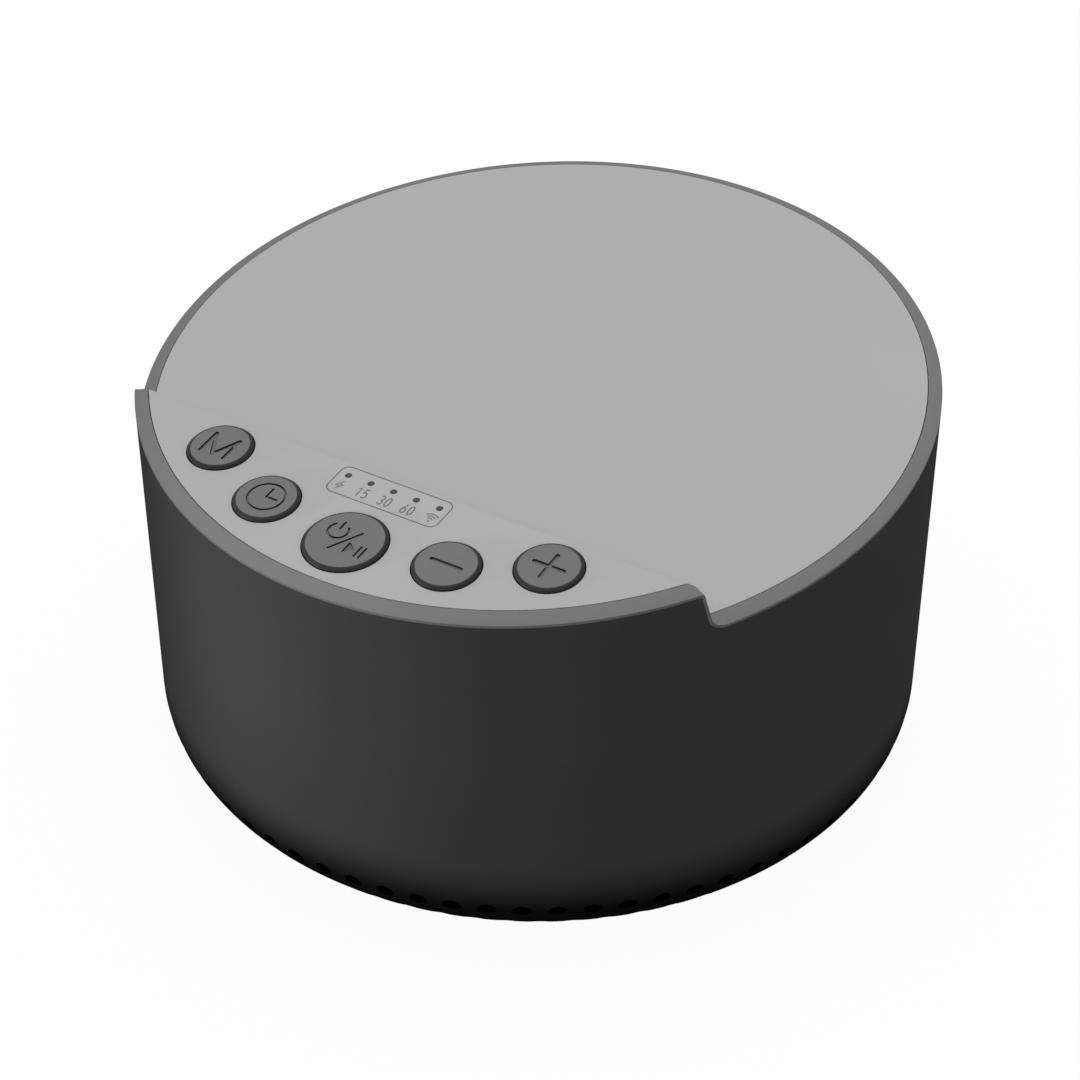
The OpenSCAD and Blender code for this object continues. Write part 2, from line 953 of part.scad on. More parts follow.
// Plugs on the main board: the loudspeaker's and the charging port's at its sides, the
// battery's at its back edge
plug = [5, 4.5, 3.4];
plug_z = main_top + plug[2] / 2;
side_plug_y = 7;
battery_plug_x = 16;
port_plug = [6, 3, 2.4];
port_plug_back = 3;

module board_connectors() {
    color(CREAM) {
        for (side = [-1, 1])
            on_main_board(side * (main_board_w - plug[0]) / 2, side_plug_y)
                block(plug[0], plug[1], plug[2]);
        on_main_board(-battery_plug_x, (main_board_l - plug[0]) / 2)
            block(plug[1], plug[0], plug[2]);
        translate([0, ribbon_to[0] + ribbon_socket[1] / 2, main_top])
            block(ribbon_socket[0], ribbon_socket[1], ribbon_socket[2]);
        on_panel(0, ribbon_board_y, -board_drop - board_t - ribbon_socket[2])
            block(ribbon_socket[0], ribbon_socket[1], ribbon_socket[2]);
        translate([0, port_board_y - port_plug_back, port_board_z + board_t])
            block(port_plug[0], port_plug[1], port_plug[2]);
    }
}

module along_cell(x, r, h) {
    translate([x, cell_y, cell_z])
        rotate([0, 90, 0])
            cylinder(r = r, h = h);
}

module battery_cell() {
    cap_h = 1;
    color([0.15, 0.35, 0.6])
        union() {
            along_cell(-cell_l / 2, cell_r, cell_l - cap_h);
            along_cell(cell_l / 2 - cap_h - 0.5, 3, cap_h + 0.5);
        }
}

module battery_strap() {
    strap_w = 8;
    strap_t = 0.8;
    foot_l = 3;
    in_r = cell_r + 0.1;
    out_r = in_r + strap_t;
    color(BLACK)
        difference() {
            union() {
                along_cell(-strap_w / 2, out_r, strap_w);
                translate([0, cell_y, frame_top])
                    block(strap_w, 2 * out_r, cell_z - frame_top);
                translate([0, cell_y, frame_top])
                    block(strap_w, 2 * (out_r + foot_l), strap_t);
            }
            along_cell(-strap_w, in_r, 2 * strap_w);
            translate([0, cell_y, frame_top - 1])
                block(2 * strap_w, 2 * in_r, cell_z - frame_top + 1);
        }
}

module battery_leads() {
    start_x = -cell_l / 2;
    plug_y = main_board_y + main_board_l / 2;
    color([0.6, 0.08, 0.08])
        lead_pair([
            [start_x, cell_y, cell_z],
            [start_x - 2, cell_y, cell_z],
            [start_x - 3, cell_y - 4, cell_z],
            [start_x - 1, cell_y - 9, cell_z - 1.5],
            [-battery_plug_x - 10, plug_y + 3.8, plug_z + 0.8],
            [-battery_plug_x - 3, plug_y + 3.6, plug_z],
            [-battery_plug_x, plug_y + 2, plug_z],
            [-battery_plug_x, plug_y, plug_z]
        ]);
}

module port_board() {
    color(BOARD_GREEN)
        difference() {
            translate([0, port_board_y, port_board_z])
                block(port_board_w, port_board_l, board_t);
            for (side = [-1, 1])
                translate([side * port_boss_x, port_boss_y, port_board_z - 1])
                    cylinder(r = board_screw_r + free_gap / 2, h = board_t + 2);
        }
}

module usb_socket() {
    shell_t = 0.3;
    color(STEEL)
        translate([0, port_y, port_z])
            difference() {
                slot_y(port_w, port_h, port_l);
                translate([0, 1, 0])
                    slot_y(port_w - 2 * shell_t, port_h - 2 * shell_t, port_l);
            }
}

module usb_tongue() {
    tongue_h = 0.7;
    back_wall = 1;
    color(BLACK)
        translate([0, port_y - port_l / 2 + back_wall, port_z - tongue_h / 2])
            translate([-port_w / 2 + 1.2, 0, 0])
                cube([port_w - 2.4, port_l - 2, tongue_h]);
}

module port_board_screws() {
    color(STEEL)
        for (side = [-1, 1])
            translate([side * port_boss_x, port_boss_y, port_board_z + board_t])
                screw_down(board_screw_r, board_screw_l, 1.7, 1);
}

module port_leads() {
    plug_y = main_board_y + side_plug_y;
    start_y = port_board_y - port_plug_back - port_plug[1] / 2;
    start_z = port_board_z + board_t + port_plug[2] / 2;
    side_r = frame_r + 1.1;
    color(BLACK)
        lead_pair([
            [0, start_y, start_z],
            [0, start_y - 2, start_z],
            [port_slot[0] - 3, port_slot[1] - 0.5, start_z + 3],
            [port_slot[0], port_slot[1], frame_z - 4],
            [port_slot[0], port_slot[1], frame_top],
            [port_slot[0] + 3.5, side_r - 3, frame_top + 3],
            [side_r * sin(35), side_r * cos(35), frame_top + 3.5],
            [side_r * sin(62), side_r * cos(62), frame_top + 3.5],
            [side_r * sin(90), side_r * cos(90), frame_top + 4],
            [main_board_w / 2 + 7, plug_y + 2.5, plug_z],
            [main_board_w / 2 + 3, plug_y, plug_z],
            [main_board_w / 2, plug_y, plug_z]
        ]);
}

module speaker_basket() {
    rear_r = 15.2;
    lip_r = speaker_r - 1.6;
    land_in_r = roll_centre_r + roll_r - land_t;
    step_h = 0.4;
    window_z = 2.7;
    color(STEEL)
        difference() {
            union() {
                translate([0, 0, speaker_z])
                    rotate_extrude()
                        polygon([
                            [lip_r, 0],
                            [speaker_r, 0],
                            [speaker_r, flange_h],
                            [speaker_r - 1, flange_h],
                            [rear_r, basket_h - 1],
                            [rear_r, basket_h],
                            [9, basket_h],
                            [9, basket_h - 1],
                            [rear_r - 1.2, basket_h - 1],
                            [land_in_r, flange_h + step_h],
                            [land_in_r, flange_h],
                            [lip_r, flange_h]
                        ]);
                for (a = [45:90:315])
                    rotate([0, 0, a])
                        translate([0, 0, speaker_z]) {
                            translate([speaker_lug_r, 0, 0])
                                cylinder(r = lug_r, h = flange_h);
                            translate([speaker_r - 0.7, -lug_r, 0])
                                cube([speaker_lug_r - speaker_r + 0.7, 2 * lug_r, flange_h]);
                        }
                translate([-speaker_r - tab_l + 0.7, -tab_w / 2, speaker_z])
                    cube([tab_l, tab_w, flange_h]);
            }
            for (a = [45:90:315])
                rotate([0, 0, a])
                    translate([speaker_lug_r, 0, speaker_z - 1])
                        cylinder(r = speaker_screw_r + free_gap, h = flange_h + 2);
            for (a = [0:60:300])
                rotate([0, 0, a])
                    translate([rear_r - 1, -4, speaker_z + window_z])
                        cube([speaker_r, 8, basket_h - window_z - 1.4]);
        }
}

module speaker_top_plate() {
    color(STEEL)
        translate([0, 0, top_plate_z])
            tube(coil_r + winding_t + 0.5, magnet_d / 2 - 1, plate_t);
}

module speaker_magnet() {
    color([0.22, 0.22, 0.24])
        translate([0, 0, magnet_z])
            tube(coil_r + 3, magnet_d / 2, magnet_t);
}

module speaker_yoke() {
    color(STEEL)
        union() {
            translate([0, 0, yoke_z])
                cylinder(r = magnet_d / 2 - 1, h = plate_t);
            translate([0, 0, top_plate_z])
                cylinder(r = pole_r, h = yoke_z - top_plate_z + plate_t / 2);
        }
}

module voice_coil() {
    winding_l = 3;
    former_top = magnet_z + cone_travel + 0.5;
    color(COPPER)
        union() {
            translate([0, 0, neck_z - 0.4])
                tube(coil_r - former_t, coil_r, former_top - neck_z + 0.4);
            translate([0, 0, top_plate_z + plate_t / 2 - winding_l / 2])
                tube(coil_r - former_t / 2, coil_r + winding_t, winding_l);
        }
}

module speaker_cone() {
    paper = 0.4;
    color(BLACK)
        rotate_extrude()
            polygon([
                [coil_r, neck_z],
                [cone_r, cone_rim_z],
                [cone_rim_r, cone_rim_z],
                [cone_rim_r, cone_rim_z + land_t],
                [cone_r, cone_rim_z + land_t],
                [coil_r, neck_z + paper]
            ]);
}

module dust_cap() {
    cap_r = coil_r + 1.5;
    cap_h = 2.2;
    cap_t = 0.3;
    glue_t = 0.02;
    ball_r = (cap_r * cap_r + cap_h * cap_h) / (2 * cap_h);
    color(BLACK)
        difference() {
            translate([0, 0, neck_z + ball_r - cap_h])
                difference() {
                    sphere(r = ball_r);
                    sphere(r = ball_r - cap_t);
                }
            rotate_extrude()
                polygon([
                    [0, neck_z + cone_slope * coil_r - glue_t],
                    [cone_r, cone_rim_z - glue_t],
                    [cone_r, big],
                    [0, big]
                ]);
        }
}

module surround() {
    outer_land = speaker_r - gasket_w - 0.1;
    color(BLACK)
        rotate_extrude()
            union() {
                difference() {
                    translate([roll_centre_r, land_z])
                        circle(r = roll_r, $fn = 48);
                    translate([roll_centre_r, land_z])
                        circle(r = roll_r - land_t, $fn = 48);
                    translate([0, land_z])
                        square([speaker_r, roll_r + 1]);
                }
                translate([cone_r, land_z])
                    square([cone_rim_r + land_t - cone_r, land_t]);
                translate([roll_centre_r + roll_r - land_t, land_z])
                    square([outer_land - roll_centre_r - roll_r + land_t, land_t]);
            }
}

// The spider is cupped: at the former it lies between the cone's neck and the winding at full travel
module spider() {
    waves = 3;
    steps = 24;
    cloth = 0.25;
    wave_h = 0.25;
    outer_r = 12;
    rim_r = outer_r + 1.8;
    rim_top = top_plate_z - 1;
    rim_z = rim_top - 0.5;
    former_z = rim_top - 1.2;
    ripple = [
        for (i = [0:steps])
            let (t = i / steps)
            [coil_r + (outer_r - coil_r) * t,
                former_z + (rim_z - former_z) * t + wave_h * sin(360 * waves * t)]
    ];
    color([0.7, 0.55, 0.3])
        rotate_extrude()
            polygon(concat(
                [for (p = ripple) p + [0, cloth / 2]],
                [[outer_r, rim_top], [rim_r, rim_top], [rim_r, rim_z - cloth / 2]],
                [for (i = [steps:-1:0]) ripple[i] - [0, cloth / 2]]
            ));
}

module speaker_gasket() {
    color(BLACK)
        translate([0, 0, speaker_z - gasket_t])
            tube(speaker_r - gasket_w, speaker_r, gasket_t);
}

module speaker_screws() {
    color(STEEL)
        for (a = [45:90:315])
            rotate([0, 0, a])
                translate([speaker_lug_r, 0, speaker_z + flange_h])
                    screw_down(speaker_screw_r, speaker_screw_l, 1.9, 1.1);
}

module speaker_leads() {
    plug_y = main_board_y + side_plug_y;
    start_z = speaker_z + flange_h;
    x = speaker_slot[0];
    y = speaker_slot[1];
    color([0.5, 0.5, 0.52])
        lead_pair([
            [-tab_r, 0, start_z],
            [-tab_r, 0, start_z + 2],
            [x + 2, y / 2, start_z + 8],
            [x, y, frame_z - 4],
            [x, y, frame_top],
            [x + 0.3, y - 1.5, frame_top + 4],
            [-main_board_w / 2 - 3.5, plug_y, plug_z],
            [-main_board_w / 2, plug_y, plug_z]
        ]);
}

module dust_screen() {
    color([0.12, 0.12, 0.12])
        translate([0, 0, floor_z])
            cylinder(r = speaker_r - gasket_w - 0.2, h = 0.25);
}

module case_screws() {
    color(STEEL)
        at_columns()
            translate([0, 0, frame_z - case_screw_grip])
                screw(case_screw_r, case_screw_l, case_head_r, case_head_h);
}

module rubber_feet() {
    color(BLACK)
        at_columns() {
            cylinder(r = foot_r, h = foot_gap + foot_sink);
            cylinder(r = foot_plug_r, h = foot_gap + foot_sink + foot_plug_h);
        }
}

body_shell();
trim_ring();
top_cover();
button_mode();
button_timer();
button_power();
button_minus();
button_plus();
plunger(0);  // plunger_mode
plunger(1);  // plunger_timer
plunger(2);  // plunger_power
plunger(3);  // plunger_minus
plunger(4);  // plunger_plus
tact_switches();
control_board();
control_board_screws();
indicator_leds();
light_guide();
ribbon_cable();
inner_frame();
main_board();
main_board_screws();
board_chips();
radio_shield();
capacitors();
inductor();
board_connectors();
battery_cell();
battery_strap();
battery_leads();
port_board();
usb_socket();
usb_tongue();
port_board_screws();
port_leads();
speaker_basket();
speaker_top_plate();
speaker_magnet();
speaker_yoke();
voice_coil();
speaker_cone();
dust_cap();
surround();
spider();
speaker_gasket();
speaker_screws();
speaker_leads();
dust_screen();
case_screws();
rubber_feet();
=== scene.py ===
"""White noise sound machine: finishes, the printed strip, the trim ring, lights and camera."""

import json
import math

import bpy
from mathutils import Matrix, Vector


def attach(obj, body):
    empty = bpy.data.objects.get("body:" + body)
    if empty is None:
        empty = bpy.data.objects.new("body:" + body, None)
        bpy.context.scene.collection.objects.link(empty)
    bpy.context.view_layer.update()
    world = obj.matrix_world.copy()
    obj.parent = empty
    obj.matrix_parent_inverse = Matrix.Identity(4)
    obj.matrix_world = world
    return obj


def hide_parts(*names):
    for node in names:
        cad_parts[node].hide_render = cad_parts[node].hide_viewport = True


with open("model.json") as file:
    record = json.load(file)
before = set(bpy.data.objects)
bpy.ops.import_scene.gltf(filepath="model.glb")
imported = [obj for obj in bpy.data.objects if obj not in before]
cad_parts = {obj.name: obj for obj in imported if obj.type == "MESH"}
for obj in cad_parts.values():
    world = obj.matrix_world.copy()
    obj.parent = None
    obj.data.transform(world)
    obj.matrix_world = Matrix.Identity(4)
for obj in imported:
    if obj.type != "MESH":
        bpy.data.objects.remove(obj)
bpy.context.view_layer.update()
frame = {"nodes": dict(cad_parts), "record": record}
nodes = frame["nodes"]
scene = bpy.context.scene

MM = 0.001

# ---------------------------------------------------------------- the case's shape, in mm
CASE_R = 52.0
BASE_ROUND = 10.0
FOOT_GAP = 0.8
# Heights of the two faces' planes on the case's axis, and their slopes in degrees
TOP_H = 53.4
PANEL_H = 59.4
MAIN_SLOPE = 6.5
PANEL_SLOPE = 7.3
# The riser between them, at its top and at its foot, with its edge and its fillet
PANEL_BACK_Y = -30.5
RISER_FOOT_Y = -29.3
RISER_EDGE_R = 1.0
RISER_FILLET_R = 1.0
LEAST_R = 0.05
# The outline's ends lie outside the case
OVERRUN = 60


def heading(a):
    return Vector((math.cos(math.radians(a)), math.sin(math.radians(a))))


def left(u):
    return Vector((-u.y, u.x))


def cross2(a, b):
    return a.x * b.y - a.y * b.x


def meet(p, u, q, v):
    """Where the line from p along u meets the line from q along v."""
    return p + u * (cross2(q - p, v) / cross2(u, v))


def corner(c, a, turn, r, steps=24):
    """Points that round the corner c with radius r, from heading a to heading a + turn."""
    side = 1 if turn > 0 else -1
    start = c - heading(a) * r * math.tan(math.radians(abs(turn) / 2))
    centre = start + left(heading(a)) * side * r
    return [centre - left(heading(a + turn * i / steps)) * side * r for i in range(steps + 1)]


def slope_at(y, height, slope):
    return Vector((y, height + y * math.tan(math.radians(slope))))


# The section's points are (y, z), and it runs from back to front
MAIN_ANGLE = 180 + MAIN_SLOPE
PANEL_ANGLE = 180 + PANEL_SLOPE
MAIN_DIR = heading(MAIN_ANGLE)
PANEL_DIR = heading(PANEL_ANGLE)
RISER_TOP = slope_at(PANEL_BACK_Y, PANEL_H, PANEL_SLOPE)
RISER_FOOT = slope_at(RISER_FOOT_Y, TOP_H, MAIN_SLOPE)
RISER_ANGLE = math.degrees(math.atan2(RISER_TOP.y - RISER_FOOT.y, RISER_TOP.x - RISER_FOOT.x))
RISER_DIR = heading(RISER_ANGLE)


def outline(d):
    """The top's section, moved d into the case along its own normal, from back to front."""
    m = Vector((0, TOP_H)) + left(MAIN_DIR) * d
    p = Vector((0, PANEL_H)) + left(PANEL_DIR) * d
    r = RISER_FOOT + left(RISER_DIR) * d
    foot = meet(m, MAIN_DIR, r, RISER_DIR)
    top = meet(r, RISER_DIR, p, PANEL_DIR)
    pts = [m - MAIN_DIR * OVERRUN]
    pts += corner(foot, MAIN_ANGLE, RISER_ANGLE - MAIN_ANGLE, RISER_FILLET_R + d)
    pts += corner(top, RISER_ANGLE, PANEL_ANGLE - RISER_ANGLE, max(RISER_EDGE_R - d, LEAST_R))
    pts.append(p + PANEL_DIR * OVERRUN)
    return pts


_outlines = {}


def top_z(y, d):
    """Height of the top at y, d below its face along the face's normal."""
    key = round(d, 4)
    if key not in _outlines:
        _outlines[key] = outline(d)
    pts = _outlines[key]
    lo, hi = 0, len(pts) - 1
    while hi - lo > 1:
        mid = (lo + hi) // 2
        if pts[mid].x > y:
            lo = mid
        else:
            hi = mid
    a, b = pts[lo], pts[hi]
    t = (y - a.x) / (b.x - a.x)
    return a.y + (b.y - a.y) * t


PANEL = (Matrix.Translation(Vector((0, 0, PANEL_H)))
         @ Matrix.Rotation(math.radians(PANEL_SLOPE), 4, "X"))
UP = (0.0, -math.sin(math.radians(PANEL_SLOPE)), math.cos(math.radians(PANEL_SLOPE)))


def on_panel(x, y, z=0.0):
    """Point above the panel: y is measured on the ground plan, z along the panel's normal."""
    return PANEL @ Vector((x, y / math.cos(math.radians(PANEL_SLOPE)), z)) * MM


# ---------------------------------------------------------------- materials
# The parts of a noise's values that hold nearly all of it
NOISE_RANGE = (0.3, 0.7)
GRAIN_RANGE = (0.25, 0.75)
GRAIN_SCALE = 2600
SATIN_IOR = 1.25


class Graph:
    """Short names for a material's nodes."""

    def __init__(self, name):
        self.mat = bpy.data.materials.new(name)
        self.mat.use_nodes = True
        self.nt = self.mat.node_tree
        self.nt.nodes.clear()
        self.out = self.add("ShaderNodeOutputMaterial")
        self.bsdf = self.add("ShaderNodeBsdfPrincipled")
        self.link(self.bsdf.outputs[0], self.out.inputs[0])
        self.coord = self.add("ShaderNodeTexCoord").outputs["Object"]

    def add(self, kind):
        return self.nt.nodes.new(kind)

    def link(self, a, b):
        self.nt.links.new(a, b)

    def put(self, value, socket):
        """Links value to socket if it is another node's output, or sets it."""
        if hasattr(value, "is_output"):
            self.link(value, socket)
        elif socket.type == "VECTOR":
            socket.default_value = value[:3]
        else:
            socket.default_value = value

    def parts(self):
        """The object's X, Y and Z."""
        n = self.add("ShaderNodeSeparateXYZ")
        self.link(self.coord, n.inputs[0])
        return n.outputs[:3]

    def noise(self, scale, detail=2.0, rough=0.5, stretch=None):
        n = self.add("ShaderNodeTexNoise")
        n.inputs["Scale"].default_value = scale
        n.inputs["Detail"].default_value = detail
        n.inputs["Roughness"].default_value = rough
        place = self.coord
        if stretch:
            m = self.add("ShaderNodeMapping")
            m.inputs["Scale"].default_value = stretch
            self.link(self.coord, m.inputs["Vector"])
            place = m.outputs[0]
        self.link(place, n.inputs["Vector"])
        return n.outputs[0]

    def wave(self, direction, scale, distortion):
        w = self.add("ShaderNodeTexWave")
        w.bands_direction = direction
        w.inputs["Scale"].default_value = scale
        w.inputs["Distortion"].default_value = distortion
        self.link(self.coord, w.inputs["Vector"])
        return w.outputs[1]

    def remap(self, value, lo, hi, a=0.0, b=1.0, kind="LINEAR"):
        """value's range a to b, carried to lo and hi."""
        m = self.add("ShaderNodeMapRange")
        m.interpolation_type = kind
        self.put(value, m.inputs[0])
        for i, v in zip((1, 2, 3, 4), (a, b, lo, hi)):
            m.inputs[i].default_value = v
        return m.outputs[0]

    def spread(self, noise, lo, hi):
        return self.remap(noise, lo, hi, *NOISE_RANGE)

    def grain(self, noise, lo, hi):
        return self.remap(noise, lo, hi, *GRAIN_RANGE)

    def math(self, op, a, b=0.0, c=0.0):
        m = self.add("ShaderNodeMath")
        m.operation = op
        for i, v in enumerate((a, b, c)):
            self.put(v, m.inputs[i])
        return m.outputs[0]

    def hypot(self, a, b):
        squares = self.math("MULTIPLY", a, a), self.math("MULTIPLY", b, b)
        return self.math("SQRT", self.math("ADD", *squares))

    def vector(self, op, a, b=None):
        m = self.add("ShaderNodeVectorMath")
        m.operation = op
        self.put(a, m.inputs[0])
        if b is not None:
            self.put(b, m.inputs[1])
        return m.outputs["Value" if op in ("LENGTH", "DOT_PRODUCT") else "Vector"]

    def mix(self, fac, a, b):
        m = self.add("ShaderNodeMix")
        m.data_type = "RGBA"
        self.put(fac, m.inputs[0])
        self.put(a, m.inputs[6])
        self.put(b, m.inputs[7])
        return m.outputs[2]

    def shade(self, colour, fac):
        """colour times fac."""
        m = self.add("ShaderNodeVectorMath")
        m.operation = "SCALE"
        self.put(colour, m.inputs[0])
        self.put(fac, m.inputs["Scale"])
        return m.outputs[0]

    def shade_again(self, fac):
        """The base colour that is already there, times fac."""
        self.colour(self.shade(self.bsdf.inputs["Base Color"].links[0].from_socket, fac))

    def bump(self, height, distance):
        b = self.add("ShaderNodeBump")
        b.inputs["Strength"].default_value = 1.0
        b.inputs["Distance"].default_value = distance
        self.link(height, b.inputs["Height"])
        self.link(b.outputs[0], self.bsdf.inputs["Normal"])

    def colour(self, value):
        self.put(value, self.bsdf.inputs["Base Color"])

    def rough(self, value):
        self.put(value, self.bsdf.inputs["Roughness"])

    def fix(self, **values):
        """Sets the shader's sockets: IOR, Metallic and Specular_IOR_Level."""
        for name, value in values.items():
            self.put(value, self.bsdf.inputs[name.replace("_", " ")])


def rgb(*c):
    if len(c) == 1:
        c = c * 3
    return (*c, 1.0)


def moulded(name, base, rough=0.5, vary=0.04, grain=0.006, grain_scale=GRAIN_SCALE, spec=0.5):
    """Moulded plastic: faint mottling, a fine sparked grain and a slightly varied roughness."""
    g = Graph(name)
    fine = g.noise(grain_scale, 2, 0.6)
    tone = g.math("ADD", g.spread(g.noise(55, 3), -vary, vary), g.grain(fine, -vary, vary))
    g.colour(g.shade(base, g.math("ADD", tone, 1.0)))
    g.rough(g.spread(g.noise(900, 3), rough - 0.02, rough + 0.02))
    g.bump(fine, grain * MM * 2)
    g.fix(Specular_IOR_Level=spec)
    return g


def metal(name, base, rough=0.3, stretch=(1, 1, 12), scale=900):
    """Bare or plated metal with drawn streaks."""
    g = Graph(name)
    streak = g.noise(scale, 4, 0.6, stretch)
    stain = g.noise(70, 3)
    tone = g.math("ADD", g.spread(streak, -0.07, 0.07), g.spread(stain, 0.92, 1.06))
    g.colour(g.shade(base, tone))
    g.rough(g.spread(streak, rough - 0.08, rough + 0.1))
    g.bump(streak, 0.004 * MM)
    g.fix(Metallic=1.0)
    return g


def shell_plastic():
    """Dark satin plastic with painted shade: darker towards the lower edge, and darker still on
    every surface more than 0.1 mm behind the case's outer surface, such as the holes' walls.
    """
    g = moulded("shell_plastic", rgb(0.066, 0.066, 0.0661), rough=0.6, vary=0.03, grain=0.003)
    g.fix(IOR=SATIN_IOR)
    x, y, z = g.parts()
    # painted shade: the colour falls to 0.16 of itself from 16 mm down to 7 mm above the ground
    painted_low_shade = g.remap(z, 0.16, 1.0, 7 * MM, 16 * MM, "SMOOTHSTEP")
    # distance from the circle on which the lower edge's rounding is centred
    out = g.math("MAXIMUM", g.math("SUBTRACT", g.hypot(x, y), (CASE_R - BASE_ROUND) * MM), 0.0)
    down = g.math("MINIMUM", g.math("SUBTRACT", z, (FOOT_GAP + BASE_ROUND) * MM), 0.0)
    # painted shade in the holes: 0.12 more than 0.3 mm inside the outer surface, 1 outside 0.1 mm
    painted_hole_shade = g.remap(g.hypot(out, down), 0.12, 1.0, (BASE_ROUND - 0.3) * MM, (BASE_ROUND - 0.1) * MM)
    shadow = g.math("MULTIPLY", painted_low_shade, painted_hole_shade)
    g.shade_again(shadow)
    # the painted shade dims the specular as well
    g.fix(Specular_IOR_Level=g.math("MULTIPLY", shadow, 0.5))
    return g


def cover_plastic():
    """Light grey plastic. Painted light makes the main face slightly lighter than the panel, most
    by the riser, against the shade the riser casts.
    """
    g = moulded("cover_plastic", rgb(0.47), rough=0.55, vary=0.006, grain=0.0015, spec=0.25)
    x, y, z = g.parts()
    behind = g.remap(y, 0.0, 1.0, PANEL_BACK_Y * MM, RISER_FOOT_Y * MM)
    # painted light on the main face: 4.4 % at the riser's foot, easing to 1.7 % from 14 mm behind
    # it
    near = g.remap(y, 1.044, 1.017, RISER_FOOT_Y * MM, (RISER_FOOT_Y + 14) * MM, "SMOOTHSTEP")
    g.shade_again(g.math("MULTIPLY_ADD", behind, g.math("SUBTRACT", near, 1.0), 1.0))
    return g


def trim_plastic():
    """Mid grey satin plastic."""
    g = moulded("trim_plastic", rgb(0.213), rough=0.65, vary=0.02, grain=0.003, spec=0.3)
    g.fix(IOR=SATIN_IOR)
    return g


def button_plastic(name, x, y, face_r):
    """Mid grey on the face, face_r round the axis at x, y. Painted shade makes the edges and the
    symbols' walls dark.
    """
    g = Graph("button_plastic_" + name)
    normal = g.add("ShaderNodeNewGeometry").outputs["True Normal"]
    # painted shade: steep faces, the symbols' walls among them, and the rim past face_r take the
    # dark colour
    flat = g.remap(g.vector("DOT_PRODUCT", normal, UP), 0.0, 1.0, 0.90, 0.97)
    offset = g.vector("SUBTRACT", g.coord, on_panel(x, y))
    away = g.vector("LENGTH", g.vector("CROSS_PRODUCT", offset, UP))
    face = g.remap(away, 1.0, 0.0, (face_r - 0.06) * MM, (face_r + 0.06) * MM)
    fine = g.noise(GRAIN_SCALE, 2, 0.6)
    tone = g.math("ADD", g.spread(g.noise(90, 3), 0.97, 1.03), g.grain(fine, -0.03, 0.03))
    g.colour(g.shade(g.mix(g.math("MULTIPLY", flat, face), rgb(0.028), rgb(0.182)), tone))
    g.rough(g.spread(g.noise(900, 3), 0.5, 0.54))
    g.bump(fine, 0.006 * MM)
    g.fix(Specular_IOR_Level=0.2)
    return g


def board_mask():
    """Circuit board: tracks show faintly through the solder mask."""
    g = Graph("board_mask")
    v = g.add("ShaderNodeTexVoronoi")
    v.feature = "DISTANCE_TO_EDGE"
    v.inputs["Scale"].default_value = 420
    g.link(g.coord, v.inputs["Vector"])
    track = g.remap(v.outputs[0], 1.0, 0.0, 0.05, 0.12)
    mask = g.mix(track, rgb(0.012, 0.10, 0.04), rgb(0.03, 0.17, 0.07))
    g.colour(g.shade(mask, g.spread(g.noise(200, 3), 0.9, 1.1)))
    g.rough(g.spread(g.noise(800, 2), 0.28, 0.4))
    g.bump(track, 0.02 * MM)
    return g


def cell_wrap():
    """Shrink wrap on the cell: glossy with faint pulled wrinkles."""
    g = Graph("cell_wrap")
    wrinkle = g.noise(300, 3, 0.5, (0.2, 2, 2))
    g.colour(g.shade(rgb(0.03, 0.12, 0.38), g.spread(wrinkle, 0.88, 1.12)))
    g.rough(g.spread(g.noise(600, 2), 0.22, 0.34))
    g.bump(wrinkle, 0.02 * MM)
    return g


def ribbon_laminate():
    """Ribbon cable: conductors run along it."""
    g = Graph("ribbon_laminate")
    wave = g.wave("X", 320, 0.2)
    conductor = g.remap(wave, 0.0, 1.0, 0.45, 0.6)
    g.colour(g.mix(conductor, rgb(0.78, 0.75, 0.66), rgb(0.45, 0.43, 0.38)))
    g.rough(g.spread(g.noise(500, 2), 0.3, 0.42))
    g.bump(wave, 0.02 * MM)
    return g


def copper_winding():
    """Copper winding: turns stacked along the axis."""
    g = Graph("copper_winding")
    wave = g.wave("Z", 1300, 0.1)
    g.colour(g.shade(rgb(0.7, 0.29, 0.12), g.remap(wave, 0.65, 1.05)))
    g.rough(g.spread(g.noise(900, 2), 0.25, 0.38))
    g.bump(wave, 0.03 * MM)
    g.fix(Metallic=1.0)
    return g


def cloth(name, base, scale, depth):
    """Two crossed sets of threads."""
    g = Graph(name)
    weave = g.math("MAXIMUM", g.wave("X", scale, 0.6), g.wave("Y", scale, 0.6))
    dirt = g.spread(g.noise(120, 3), 0.9, 1.1)
    g.colour(g.shade(base, g.math("MULTIPLY", g.remap(weave, 0.55, 1.15), dirt)))
    g.rough(g.remap(weave, 0.93, 0.77))
    g.bump(weave, depth * MM)
    return g


def cone_paper():
    """Pressed paper: fibres."""
    g = Graph("cone_paper")
    fibre = g.noise(1300, 5, 0.7)
    g.colour(g.shade(rgb(0.028), g.spread(fibre, 0.7, 1.35)))
    g.rough(g.spread(fibre, 0.75, 0.9))
    g.bump(fibre, 0.03 * MM)
    return g


